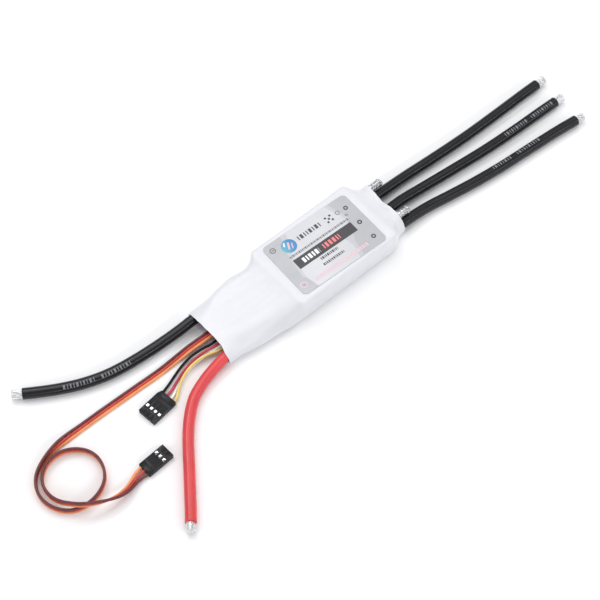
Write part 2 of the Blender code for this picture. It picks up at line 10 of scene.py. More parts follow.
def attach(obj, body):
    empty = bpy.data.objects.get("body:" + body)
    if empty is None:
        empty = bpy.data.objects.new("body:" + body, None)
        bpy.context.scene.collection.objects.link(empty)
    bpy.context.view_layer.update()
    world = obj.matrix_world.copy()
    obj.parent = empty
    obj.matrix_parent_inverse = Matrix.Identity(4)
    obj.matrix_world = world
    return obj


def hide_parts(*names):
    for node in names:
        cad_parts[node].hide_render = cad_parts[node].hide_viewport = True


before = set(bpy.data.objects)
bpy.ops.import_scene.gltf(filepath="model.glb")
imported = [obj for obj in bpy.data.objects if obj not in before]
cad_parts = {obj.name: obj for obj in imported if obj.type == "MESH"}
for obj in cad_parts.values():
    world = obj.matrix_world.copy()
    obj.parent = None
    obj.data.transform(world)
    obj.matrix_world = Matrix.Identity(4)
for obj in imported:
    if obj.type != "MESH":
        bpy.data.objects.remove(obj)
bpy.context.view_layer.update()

MM = 0.001
UP = Vector((0.0, 0.0, 1.0))

# ---- camera, floor and light

CAMERA_PLACE = Vector((-270.5, -304.5, 646.7)) * MM
CAMERA_TARGET = Vector((-12.55, -9.87, 0.0)) * MM
LENS = 92.8
SENSOR = 36.0
SKY_COLOUR = (0.97, 0.98, 1.0, 1.0)
SKY_STRENGTH = 0.53
FLOOR_REACH = 3.0
FLOOR_HEIGHT = -0.00005

# Name: place, the x it is aimed at on the floor, the panel's two sides, power
LIGHTS = {
    "overhead": ((0.10, 0.22, 0.95), 0.0, (0.9, 0.7), 3.3),
    "front strip": ((0.05, -0.62, 0.40), 0.05, (1.5, 0.05), 2.4),
    "far strip": ((-0.05, 0.58, 0.80), -0.05, (0.9, 0.14), 2.2),
    "motor side": ((0.75, 0.05, 0.5), 0.05, (0.35, 0.6), 1.0),
    "battery side": ((-0.80, 0.22, 0.30), -0.06, (0.5, 0.35), 1.0),
}


def new_object(name, data):
    item = bpy.data.objects.new(name, data)
    bpy.context.scene.collection.objects.link(item)
    return item


def aim(item, place, target):
    item.location = place
    item.rotation_euler = (Vector(target) - Vector(place)).to_track_quat("-Z", "Y").to_euler()


def make_camera():
    data = bpy.data.cameras.new("camera")
    data.lens = LENS
    data.sensor_width = SENSOR
    data.clip_start, data.clip_end = 0.01, 20.0
    camera = new_object("camera", data)
    aim(camera, CAMERA_PLACE, CAMERA_TARGET)
    bpy.context.scene.camera = camera


def make_studio():
    scene = bpy.context.scene
    scene.world = bpy.data.worlds.new("studio")
    scene.world.use_nodes = True
    set_inputs(scene.world.node_tree.nodes["Background"], Color=SKY_COLOUR, Strength=SKY_STRENGTH)
    scene.view_settings.view_transform = "Standard"
    scene.view_settings.look = "None"
    for name, (place, target_x, size, power) in LIGHTS.items():
        data = bpy.data.lights.new(name, "AREA")
        data.shape = "RECTANGLE"
        data.size, data.size_y = size
        data.energy = power
        aim(new_object(name, data), place, (target_x, 0.0, 0.0))


# ---- materials


def set_inputs(node, **values):
    for socket, value in values.items():
        node.inputs[socket.replace("_", " ")].default_value = value
    return node


class Finish:
    """A node material under construction. Its textures read object coordinates, which are metres."""

    def __init__(self, name, colour, roughness, metallic=0.0, **constants):
        self.material = bpy.data.materials.new(name)
        self.material.use_nodes = True
        self.tree = self.material.node_tree
        self.shader = set_inputs(self.tree.nodes["Principled BSDF"], Base_Color=(*colour, 1.0),
                                 Roughness=roughness, Metallic=metallic, **constants)
        self.place = self.node("TexCoord").outputs["Object"]

    def link(self, start, end):
        self.tree.links.new(start, end)

    def node(self, kind, **values):
        return set_inputs(self.tree.nodes.new("ShaderNode" + kind), **values)

    def stretched(self, scale, turn=0.0):
        mapping = self.node("Mapping", Scale=scale, Rotation=(0.0, 0.0, turn))
        self.link(self.place, mapping.inputs["Vector"])
        return mapping.outputs["Vector"]

    def texture(self, kind, where=None, **values):
        texture = self.node("Tex" + kind, **values)
        self.link(where or self.place, texture.inputs["Vector"])
        return texture

    def noise(self, scale, detail=3.0, where=None):
        return self.texture("Noise", where, Scale=scale, Detail=detail).outputs["Fac"]

    def cells(self, scale):
        return self.texture("Voronoi", Scale=scale).outputs["Distance"]

    def bands(self, scale, direction, distortion=0.0):
        texture = self.texture("Wave", Scale=scale, Distortion=distortion)
        texture.bands_direction = direction
        return texture.outputs["Fac"]

    def spread(self, value, low, high, start=0.3, end=0.7):
        """The value's start to end range becomes low to high."""
        spread = self.node("MapRange", From_Min=start, From_Max=end, To_Min=low, To_Max=high)
        self.link(value, spread.inputs["Value"])
        return spread.outputs["Result"]

    def mixed(self, value, first, second, start=0.3, end=0.7, most=1.0):
        """The first colour where the value is at start, and most of the second where it is at end. A
        colour is a tuple or another node's colour."""
        mix = self.node("Mix")
        mix.data_type = "RGBA"
        self.link(self.spread(value, 0.0, most, start, end), mix.inputs["Factor"])
        for socket, colour in (("A", first), ("B", second)):
            into = next(s for s in mix.inputs if s.name == socket and s.type == "RGBA")
            if isinstance(colour, tuple):
                into.default_value = (*colour, 1.0)
            else:
                self.link(colour, into)
        return next(s for s in mix.outputs if s.type == "RGBA")

    def paint(self, *mix):
        self.link(self.mixed(*mix), self.shader.inputs["Base Color"])

    def gloss(self, scale, detail, low, high):
        """Cloudy roughness from low to high."""
        self.link(self.spread(self.noise(scale, detail), low, high), self.shader.inputs["Roughness"])

    def relief(self, *heights):
        """Bumps laid over each other, each a height output and its depth in mm. Returns the material."""
        normal = None
        for height, depth in heights:
            bump = self.node("Bump", Distance=depth * MM)
            self.link(height, bump.inputs["Height"])
            if normal:
                self.link(normal, bump.inputs["Normal"])
            normal = bump.outputs["Normal"]
        self.link(normal, self.shader.inputs["Normal"])
        return self.material


def tinted(colour, factor):
    return tuple(min(1.0, channel * factor) for channel in colour)


def film_finish():
    f = Finish("white heat shrink film", (0.8, 0.8, 0.83), 0.36, Coat_Weight=0.12, Coat_Roughness=0.3,
               Subsurface_Weight=0.3, Subsurface_Scale=0.002, Subsurface_Radius=(1.0, 0.9, 0.8))
    f.paint(f.noise(45.0), (0.73, 0.725, 0.765), (0.765, 0.76, 0.795))
    f.gloss(220.0, 4.0, 0.3, 0.44)
    stretch = f.stretched((0.35, 1.0, 1.0))
    return f.relief((f.noise(130.0, 2.0, stretch), 0.16), (f.noise(900.0), 0.02))


def label_finish(name, colour):
    f = Finish(name, colour, 0.34, 0.3, Anisotropic=0.3, Coat_Weight=0.25, Coat_Roughness=0.15)
    grain = f.noise(1.0, 3.0, f.stretched((90.0, 4200.0, 90.0), radians(2.2)))
    f.paint(grain, tinted(colour, 0.95), tinted(colour, 1.04))
    f.gloss(160.0, 2.0, 0.3, 0.42)
    return f.relief((grain, 0.008), (f.noise(120.0, 2.0), 0.05))


def ink_finish(name, colour, other=None):
    """Screen printed ink, dotted with its other colour."""
    f = Finish(name, colour, 0.4, Coat_Weight=0.2, Coat_Roughness=0.2)
    f.paint(f.cells(5200.0), colour, other or tinted(colour, 1.15), 0.2, 0.8)
    f.gloss(700.0, 2.0, 0.34, 0.48)
    return f.relief((f.noise(1800.0, 2.0), 0.01))


def emblem_finish():
    f = Finish("printed emblem", (0.1, 0.42, 0.68), 0.35, Coat_Weight=0.2, Coat_Roughness=0.2)
    sweep = f.noise(95.0, 1.0, f.stretched((1.0, 0.6, 1.0), 0.6))
    f.paint(sweep, (0.03, 0.2, 0.5), (0.13, 0.5, 0.56), 0.35, 0.65)
    return f.relief((f.noise(1800.0, 2.0), 0.01))


def silicone_finish(name, colour, dusty, bleed=0.0):
    """Extruded silicone: satin, with fine drawn lines, a little dust and cloudy gloss."""
    f = Finish(name, colour, 0.2, Specular_IOR_Level=0.38, Subsurface_Weight=bleed,
               Subsurface_Scale=0.002)
    base = f.mixed(f.noise(70.0), tinted(colour, 0.92), tinted(colour, 1.1))
    f.paint(f.noise(2600.0, 2.0), base, dusty, 0.66, 0.78, 0.55)
    f.gloss(260.0, 4.0, 0.16, 0.27)
    return f.relief((f.noise(320.0, 2.0), 0.006), (f.noise(2400.0), 0.003))


def insulation_finish(name, colour, roughness=0.3, specular=0.42):
    """Thin PVC insulation: glossier, with faint waves from the strands below."""
    f = Finish(name, colour, roughness, Specular_IOR_Level=specular, Subsurface_Weight=0.08,
               Subsurface_Scale=0.001)
    f.paint(f.noise(150.0), tinted(colour, 0.88), tinted(colour, 1.12))
    f.gloss(500.0, 3.0, roughness - 0.08, roughness + 0.1)
    return f.relief((f.noise(420.0, 2.0), 0.02), (f.noise(3200.0, 2.0), 0.005))


def plated_finish(name, colour, roughness, depth, dark, scale):
    """Plated or tinned metal with a fine grain and darker clouds: tarnish where they are mild, and on the
    water nipples, where they are much darker, painted dark reflections.
    """
    f = Finish(name, colour, roughness, 1.0)
    f.paint(f.noise(scale, 4.0), colour, tinted(colour, dark), 0.35, 0.75)
    f.gloss(scale * 1.7, 3.0, roughness - 0.08, roughness + 0.14)
    return f.relief((f.noise(scale * 1.4), depth), (f.noise(scale * 5.0, 2.0), depth * 0.4))


def moulded_finish(name, colour, roughness, grain, scale, pale=1.7):
    """Moulded plastic or epoxy with a spark-eroded grain and paler rubbed patches."""
    f = Finish(name, colour, roughness, Specular_IOR_Level=0.4)
    f.paint(f.noise(260.0, 5.0), colour, tinted(colour, pale), 0.5, 0.75)
    f.gloss(600.0, 4.0, roughness - 0.08, roughness + 0.12)
    return f.relief((f.cells(scale), grain), (f.noise(scale * 0.25), grain * 1.2))


def laminate_finish():
    """Solder mask over copper: lighter tracks, the glass weave below, and a few vias."""
    f = Finish("solder masked laminate", (0.015, 0.14, 0.06), 0.32, Coat_Weight=0.3, Coat_Roughness=0.15)
    tracks = f.spread(f.bands(190.0, "Y", 3.0), 0.0, 1.0, 0.45, 0.55)
    board = f.mixed(tracks, (0.012, 0.12, 0.05), (0.03, 0.24, 0.11), 0.0, 1.0)
    f.paint(f.cells(420.0), (0.55, 0.5, 0.3), board, 0.12, 0.16)
    f.gloss(300.0, 3.0, 0.26, 0.4)
    return f.relief((tracks, 0.035), (f.bands(2400.0, "X"), 0.006), (f.bands(2400.0, "Y"), 0.006))


def machined_finish():
    """Milled aluminium with the cutter's long parallel marks."""
    f = Finish("milled aluminium", (0.78, 0.79, 0.8), 0.32, 1.0, Anisotropic=0.4)
    marks = f.noise(1.0, 4.0, f.stretched((120.0, 5200.0, 900.0)))
    f.paint(marks, (0.7, 0.71, 0.72), (0.84, 0.85, 0.86))
    f.gloss(180.0, 3.0, 0.24, 0.42)
    return f.relief((marks, 0.012), (f.noise(90.0, 2.0), 0.02))


def jacket_finish():
    """A capacitor's shrunk sleeve, with the pale polarity stripe along one side."""
    f = Finish("capacitor jacket", (0.03, 0.035, 0.08), 0.3, Coat_Weight=0.2, Coat_Roughness=0.15)
    split = f.node("SeparateXYZ")
    f.link(f.place, split.inputs["Vector"])
    f.paint(split.outputs["Z"], (0.03, 0.035, 0.08), (0.4, 0.41, 0.44), 0.0104, 0.0106)
    f.gloss(350.0, 3.0, 0.24, 0.4)
    return f.relief((f.noise(500.0), 0.02))


def pad_finish():
    """Filled silicone gap pad with its coarse filler grains."""
    f = Finish("thermal pad", (0.34, 0.4, 0.46), 0.75, Sheen_Weight=0.15, Sheen_Roughness=0.5)
    grains = f.spread(f.noise(1600.0, 4.0), 0.0, 1.0, 0.4, 0.65)
    f.paint(grains, (0.3, 0.36, 0.42), (0.42, 0.47, 0.52), 0.0, 1.0)
    return f.relief((grains, 0.03), (f.cells(700.0), 0.03))


def floor_finish():
    f = Finish("studio floor", (0.93, 0.93, 0.935), 0.9)
    f.paint(f.noise(6.0, 2.0), (0.925, 0.925, 0.93), (0.94, 0.94, 0.945))
    return f.material


# ---- mesh helpers


def add_mesh(name, places, faces, material, smooth=True):
    mesh = bpy.data.meshes.new(name)
    mesh.from_pydata([tuple(place) for place in places], [], faces)
    mesh.validate()
    tidy = bmesh.new()
    tidy.from_mesh(mesh)
    bmesh.ops.remove_doubles(tidy, verts=tidy.verts, dist=1e-7)
    bmesh.ops.recalc_face_normals(tidy, faces=tidy.faces)
    tidy.to_mesh(mesh)
    tidy.free()
    mesh.materials.append(material)
    mesh.polygons.foreach_set("use_smooth", [smooth] * len(mesh.polygons))
    return new_object(name, mesh)


def join_rings(rings, closed=True):
    """Places and faces of a skin over rings that all have the same number of points."""
    sides = len(rings[0])
    places = [place for ring in rings for place in ring]
    faces = []
    for ring in range(len(rings) - 1):
        for side in range(sides):
            other = (side + 1) % sides
            faces.append((ring * sides + side, ring * sides + other,
                          (ring + 1) * sides + other, (ring + 1) * sides + side))
    if closed:
        faces.append(tuple(range(sides - 1, -1, -1)))
        faces.append(tuple(range((len(rings) - 1) * sides, len(rings) * sides)))
    return places, faces


def together(skins):
    """Places and faces of several skins as one."""
    places, faces = [], []
    for more, skin in skins:
        faces += [tuple(index + len(places) for index in face) for face in skin]
        places += more
    return places, faces


def settle(piece, slot, *nodes):
    """Every piece rides on the root and may stand for CAD nodes, which it hides. The slot is not used."""
    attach(piece, "root")
    if nodes:
        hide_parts(*nodes)
    return piece


def apply_modifiers(piece):
    ready = bpy.data.meshes.new_from_object(piece.evaluated_get(bpy.context.evaluated_depsgraph_get()))
    piece.modifiers.clear()
    old, piece.data = piece.data, ready
    bpy.data.meshes.remove(old)


def soften(piece, width, segments=2, angle=35.0):
    bevel = piece.modifiers.new("softened edges", "BEVEL")
    bevel.width = width
    bevel.segments = segments
    bevel.limit_method = "ANGLE"
    bevel.angle_limit = radians(angle)
    bevel.harden_normals = True


# ---- routes

BATTERY_MOUTH = -60.5
LEAD_RADIUS = 2.8
LEAD_BORE = 2.0
LEAD_STEP = 1.2
WIRE_BORE = 0.2
WIRE_STEP = 0.9
RIBBON_PITCH = 1.4
PIN_PITCH = 2.54
FAN_OUT = 12.0
LEAD_REST = 2.85
RIBBON_REST = (2.3, 90)

# Length in metres and route in mm. A point without a height lies on the floor.
LEADS = {
    "motor_lead_a": (0.1276, [
        (41.5, 9.2, 4.2), (53, 9.2, 4.2), (64, 9.2, 3.4), (76, 9.0), (95, 7.8), (118, 6.8), (140, 6.7),
        (158, 6.8), (169, 6.7)]),
    "motor_lead_b": (0.1268, [
        (41.5, -1.3, 4.2), (53, -1.2, 4.2), (64, -0.9, 3.4), (76, -1.8), (95, -3.8), (118, -6.0),
        (140, -7.1), (156, -7.5), (168, -7.9)]),
    "motor_lead_c": (0.1267, [
        (41.5, -11.8, 4.2), (53, -11.8, 4.2), (63, -11.8, 3.4), (73, -12.6), (85, -14.7), (100, -17.1),
        (117, -19.1), (138, -20.7), (155, -22.1), (167.4, -23.5)]),
    "battery_lead_negative": (0.1121, [
        (-38.3, 13.8, 4.2), (-50, 13.8, 4.2), (-60.5, 13.8, 4.2), (-70, 13.8, 3.6), (-82, 14.4, 2.95),
        (-96, 15.5), (-109, 17.6), (-121, 21.6), (-131, 26.6), (-139, 31.5), (-145.6, 35.9)]),
    "battery_lead_positive": (0.1123, [
        (-38.3, -12.0, 4.2), (-50, -12.0, 4.2), (-60.5, -12.1, 4.2), (-68.6, -13.1, 3.6),
        (-77, -15.0, 2.95), (-86, -18.7), (-93.4, -24.5), (-99, -30.2), (-104, -36.3), (-111.3, -46),
        (-117.7, -54.4), (-123.3, -61.8), (-127.2, -66.7)]),
}

# The servo ribbon's middle: x, y, z and its roll in degrees, 0 flat and 90 on edge. A point without the
# last two stands on the floor on its edge.
SERVO_ROUTE = [
    (-36.2, 3.0, 3.4, 0), (-48, 3.0, 3.6, 0), (-60.5, 2.8, 3.6, 0), (-70, 3.6, 2.3, 0),
    (-78, 3.8, 1.1, 0), (-89, 3.5, 0.75, 0), (-103, 3.9, 0.75, 0), (-113, 4.2, 0.75, 0),
    (-124, 4.5, 0.75, 0), (-135, 4.6, 0.8, 3), (-143, 4.5, 1.3, 25), (-150, 3.9, 2.0, 60),
    (-157, 2.3, 2.3, 85), (-163, -0.4), (-167.1, -3.9), (-169.9, -8.9), (-170.6, -14.8), (-168.9, -20.9),
    (-165.2, -25.7), (-160.4, -28.4), (-155.2, -29), (-150.4, -28.3), (-146, -26.4), (-142.4, -23.3),
    (-139.9, -18.7), (-139.1, -13.3), (-140.4, -8.3), (-143.3, -4.4), (-146.9, -1.7), (-151, -0.2),
    (-155.3, -0.1), (-159.7, -1.4), (-163.5, -4.2), (-166.2, -8.5, 2.4, 90), (-167, -14, 2.9, 90),
    (-165.9, -19.7, 4.1, 90), (-163.3, -24.7, 5.9, 90), (-160, -28.8, 7.0, 90), (-156.3, -31.5, 6.9, 86),
    (-152.2, -33.5, 6.2, 78), (-148, -34.9, 5.3, 62), (-143.3, -35.6, 4.0, 42), (-138.6, -35.2, 2.8, 22),
    (-134.4, -33.9, 1.9, 7), (-130.6, -32.7, 1.4, 0), (-124.6, -32.15, 1.25, 0),
]
# Each servo wire's side of the ribbon, and each wire's length in metres
SERVO_WIRES = {"brown": (1, 0.2931), "red": (0, 0.2919), "orange": (-1, 0.2913)}
PROGRAM_WIRES = {
    "black": (0.0632, [
        (-36.2, -1.6, 3.4), (-48, -2.0, 3.6), (-60.5, -2.2, 3.6), (-67.5, -0.8, 2.7), (-73.5, -0.1, 1.6),
        (-79.5, -0.9, 0.9), (-85.2, -2.7, 0.75), (-90.4, -4.7, 1.0), (-95.4, -6.2, 1.25),
        (-98.0, -6.5, 1.25)]),
    "red": (0.0630, [
        (-36.2, -3.3, 3.4), (-48, -3.7, 3.6), (-60.5, -4.0, 3.6), (-67, -2.8, 2.6), (-73.6, -2.4, 1.4),
        (-80.3, -3.5, 0.8), (-86.5, -5.8, 0.75), (-91.3, -7.9, 1.0), (-95.1, -8.7, 1.25),
        (-97.7, -9.0, 1.25)]),
    "white": (0.0630, [
        (-36.2, -5.0, 3.4), (-48, -5.4, 3.5), (-60.5, -5.7, 3.3), (-66, -4.7, 2.1), (-71, -4.2, 1.35),
        (-77, -4.4, 0.7), (-83, -6.4, 0.7), (-88.3, -8.5, 0.75), (-91.9, -10.4, 1.1), (-94.8, -11.2, 1.25),
        (-97.4, -11.5, 1.25)]),
    "yellow": (0.0640, [
        (-36.2, -6.7, 3.4), (-48, -7.1, 3.7), (-60.5, -7.4, 3.9), (-65.5, -5.8, 3.7), (-70.7, -4.5, 3.1),
        (-77, -4.6, 2.4), (-83, -6.5, 2.2), (-88.3, -9.8, 1.9), (-91.9, -12.7, 1.5), (-94.5, -13.7, 1.25),
        (-97.1, -14.0, 1.25)]),
}


def even_steps(line, spacing=None, count=None):
    """Points at even distances along a line. Values after x, y and z ride along."""
    distances = [0.0]
    for first, second in zip(line, line[1:]):
        distances.append(distances[-1] + dist(first[:3], second[:3]))
    count = count or max(2, round(distances[-1] / spacing))
    even, index = [], 0
    for number in range(count + 1):
        wanted = distances[-1] * number / count
        while index < len(line) - 2 and distances[index + 1] < wanted:
            index += 1
        share = (wanted - distances[index]) / max(1e-9, distances[index + 1] - distances[index])
        even.append(tuple(a + (b - a) * min(share, 1.0) for a, b in zip(line[index], line[index + 1])))
    return even


def smooth_route(points, spacing):
    """A smooth curve through the points at even steps."""
    dense = []
    ends = [points[0], *points, points[-1]]
    pieces = 12
    for before, first, second, after in zip(ends, ends[1:], ends[2:], ends[3:]):
        for piece in range(pieces):
            t = piece / pieces
            dense.append(tuple(
                0.5 * (2 * b + (c - a) * t + (2 * a - 5 * b + 4 * c - d) * t ** 2
                       + (3 * b - a - 3 * c + d) * t ** 3)
                for a, b, c, d in zip(before, first, second, after)))
    dense.append(tuple(points[-1]))
    return even_steps(dense, spacing)


def route_frames(points):
    """Distance, place, forward, side and up at each point, turning as little as the route allows."""
    points = [Vector(point[:3]) * MM for point in points]
    forward = (points[1] - points[0]).normalized()
    side = UP.cross(forward).normalized()
    frames, travelled = [], 0.0
    for index, point in enumerate(points):
        ahead = (points[min(index + 1, len(points) - 1)] - points[max(index - 1, 0)]).normalized()
        turn = forward.rotation_difference(ahead)
        side = turn @ side
        side = (side - ahead * side.dot(ahead)).normalized()
        forward = ahead
        if index:
            travelled += (point - points[index - 1]).length
        frames.append((travelled, point, forward, side, forward.cross(side)))
    return frames


def frame_at(frames, distance):
    """The frame at any distance, running straight on past either end."""
    if distance <= frames[0][0] or distance >= frames[-1][0]:
        start, place, forward, side, up = frames[0] if distance <= frames[0][0] else frames[-1]
        return place + forward * (distance - start), forward, side, up
    after = next(index for index, entry in enumerate(frames) if entry[0] > distance)
    first, second = frames[after - 1], frames[after]
    share = (distance - first[0]) / (second[0] - first[0])
    return (first[1].lerp(second[1], share), *(a.lerp(b, share).normalized() for a, b in
                                               zip(first[2:], second[2:])))


def sweep(name, frames, profile, sides, material, relief=None):
    """A round skin along a route: profile is distance and radius pairs, relief scales the radius."""
    rings = []
    for distance, radius in profile:
        place, _, side, up = frame_at(frames, distance)
        ring = []
        for number in range(sides):
            angle = tau * number / sides
            reach = radius * (relief(distance, angle) if relief else 1.0)
            ring.append(place + (side * cos(angle) + up * sin(angle)) * reach)
        rings.append(ring)
    return add_mesh(name, *join_rings(rings), material)


# ---- power leads and their tips


# Each lead's bare tip: radius and length in mm, flare and twist
TIPS = {
    "motor_lead_a": (2.1, 5.1, 0.2, 1.3), "motor_lead_b": (2.1, 4.8, 0.12, -1.1),
    "motor_lead_c": (2.1, 4.5, 0.04, 1.5), "battery_lead_negative": (2.1, 4.9, 0.14, 0.9),
    "battery_lead_positive": (2.05, 4.7, 0.05, 1.8),
}
# The reach of each layer as a share of the bundle's radius, and its number of strands
STRAND_LAYERS = [(0.0, 1), (0.29, 6), (0.58, 12), (0.86, 18)]


def strand_bundle(name, frames, start, end, radius, flare, twist, seed, material):
    """A twisted bundle of tinned strands, a little ragged at its cut end."""
    skins, steps = [], 9
    strand = radius * 0.145
    for layer, (reach, count) in enumerate(STRAND_LAYERS):
        for number in range(count):
            key = Vector((seed * 7.3, layer * 3.1, number * 1.7))
            length = (end - start) * (1.0 + 0.07 * noise.noise(key))
            offset = tau * number / count + 0.12 * noise.noise(key * 1.9)
            rings = []
            for step in range(steps + 2):
                along = min(step, steps) / steps
                dome = 0.06 * MM if step > steps else 0.0
                place, _, side, up = frame_at(frames, start + length * along + dome)
                angle = offset + twist * along + 0.1 * noise.noise(key + Vector((along * 3.0, 0.0, 0.0)))
                out = radius * reach * (1.0 + flare * along ** 2) * (1.0 + 0.03 * noise.noise(key * 2.3))
                centre = place + (side * cos(angle) + up * sin(angle)) * out
                thick = strand * (0.35 if dome else 1.0 + flare * along ** 2)
                rings.append([centre + (side * cos(a) + up * sin(a)) * thick
                              for a in (tau * k / 7 for k in range(7))])
            skins.append(join_rings(rings))
    return add_mesh(name, *together(skins), material)


# Where a lead's two groups of ticks start and end, in mm from its inner end, and their lean in degrees
LEAD_MARKS = {
    "battery_lead_negative": (((59.5, 74.0), (78.0, 92.5)), 22.0),
    "motor_lead_b": (((90.0, 104.5), (108.5, 123.5)), 10.0),
    "motor_lead_c": (((70.5, 82.5), (86.5, 102.0)), -12.0),
}


def lead_marks(node, frames, material):
    """Pale ticks in two groups along a lead, in place of its print; they lean a little off the top."""
    groups, lean = LEAD_MARKS[node]
    angles = [radians(lean) + 0.34 * (step / 3 - 1) for step in range(7)]
    skins = []
    for mark, end in groups:
        number = 0
        while mark < end:
            length = (0.4, 1.0, 0.4, 0.7)[number % 4]
            rings = []
            for distance in (mark, mark + length):
                place, ahead, _, _ = frame_at(frames, distance * MM)
                up = (UP - ahead * ahead.z).normalized()
                near = ahead.cross(up)
                near = near if near.y < 0.0 else -near
                rings.append([place + (up * cos(a) + near * sin(a)) * (LEAD_RADIUS + height) * MM
                              for height, arc in ((0.03, angles), (-0.1, angles[::-1])) for a in arc])
            skins.append(join_rings(rings))
            mark += length + 0.95
            number += 1
    return settle(add_mesh(node + "_marks", *together(skins), material, smooth=False), "black_silicone")


def build_leads(black, red, tin):
    """Silicone power leads, cut square at the free end, where the tinned strands come out."""
    print_ink = ink_finish("lead print ink", (0.17, 0.17, 0.19))
    for number, (node, (length, route)) in enumerate(LEADS.items()):
        frames = route_frames(smooth_route([(*point, LEAD_REST)[:3] for point in route], LEAD_STEP))
        end = frames[-1][0]
        radius, bore = LEAD_RADIUS * MM, LEAD_BORE * MM
        profile = [(0.0, bore), (0.0, radius - 0.15 * MM), (0.15 * MM, radius)]
        profile += even_steps([(LEAD_STEP * MM, radius), (end - 0.6 * MM, radius)], LEAD_STEP * MM)
        profile += [(end - 0.14 * MM, radius), (end - 0.05 * MM, radius - 0.05 * MM),
                    (end, radius - 0.14 * MM), (end, bore + 0.1 * MM), (end - 0.1 * MM, bore),
                    (end - 1.2 * MM, bore)]

        def handling(distance, angle, seed=number * 5.0):
            return 1.0 - 0.006 * (0.5 + noise.noise(Vector((distance * 60.0, cos(angle), seed))))

        material = red if node.endswith("positive") else black
        lead = sweep(node + "_jacket", frames, profile, 40, material, handling)
        tip_node = node.replace("lead", "tip")
        tip_radius, tip_length, flare, twist = TIPS[node]
        tip = strand_bundle(tip_node + "_strands", frames, end - 0.8 * MM, end + tip_length * MM,
                            tip_radius * MM, flare, twist, number + 1.0, tin)
        settle(lead, "red_silicone" if material is red else "black_silicone", node)
        settle(tip, "tinned_strands", tip_node)
        marks = [lead_marks(node, frames, print_ink)] if node in LEAD_MARKS else []


# ---- signal wires


def ribbon_routes():
    """The ribbon's three wires side by side across a band that rolls, and fans out at the plug."""
    centre = smooth_route([(*point, *RIBBON_REST)[:4] for point in SERVO_ROUTE], WIRE_STEP)
    places = [Vector(point[:3]) for point in centre]
    wires = {name: [] for name in SERVO_WIRES}
    for index, place in enumerate(places):
        ahead = places[min(index + 1, len(places) - 1)] - places[max(index - 1, 0)]
        right = ahead.cross(UP).normalized()
        roll = radians(centre[index][3])
        across = right * cos(roll) + UP * sin(roll)
        fanned = max(0.0, 1.0 - (len(places) - 1 - index) * WIRE_STEP / FAN_OUT)
        pitch = RIBBON_PITCH + (PIN_PITCH - RIBBON_PITCH) * fanned ** 2 * (3 - 2 * fanned)
        for name, (side, _) in SERVO_WIRES.items():
            wires[name].append(tuple(place + across * side * pitch))
    return wires


# Each insulation's colour, and its roughness and specular level where they aren't the usual ones
INSULATION = {
    "brown": ((0.13, 0.03, 0.03),), "red": ((0.52, 0.045, 0.035),), "orange": ((0.8, 0.3, 0.11),),
    "black": ((0.004, 0.003, 0.003), 0.42, 0.2), "crimson": ((0.5, 0.045, 0.085),),
    "white": ((0.84, 0.83, 0.8),), "yellow": ((0.76, 0.6, 0.16),),
}


def build_wires():
    """Insulated wires, each ending in its plug."""
    finishes = {name: insulation_finish(name + " insulation", *look) for name, look in INSULATION.items()}
    jobs = [("servo", name, SERVO_WIRES[name][1], route, 0.69)
            for name, route in ribbon_routes().items()]
    jobs += [("program", name, length, smooth_route(route, WIRE_STEP), 0.64)
             for name, (length, route) in PROGRAM_WIRES.items()]
    for group, name, length, route, radius in jobs:
        frames = route_frames(route)
        end = frames[-1][0]
        edge, bore, step = 0.12 * MM, WIRE_BORE * MM, WIRE_STEP * MM
        profile = [(0.0, bore), (0.0, radius * MM - edge), (edge, radius * MM)]
        profile += even_steps([(step, radius * MM), (end - step, radius * MM)], step)
        profile += [(end - edge, radius * MM), (end, radius * MM - edge), (end, bore)]
        node = f"{group}_wire_{name}"
        finish = finishes["crimson" if node == "program_wire_red" else name]
        wire = sweep(node + "_insulation", frames, profile, 18, finish)
        settle(wire, f"{name}_insulation", node)


# ---- heat-shrink film


FILM_WALL = 0.5
FILM_POINTS = 132


FILM_ON_BLOCK = [(-18, 2, 2), (18, 2, 2), (18.4, 13.4, 1.6), (-18.5, 13.5, 1.5)]
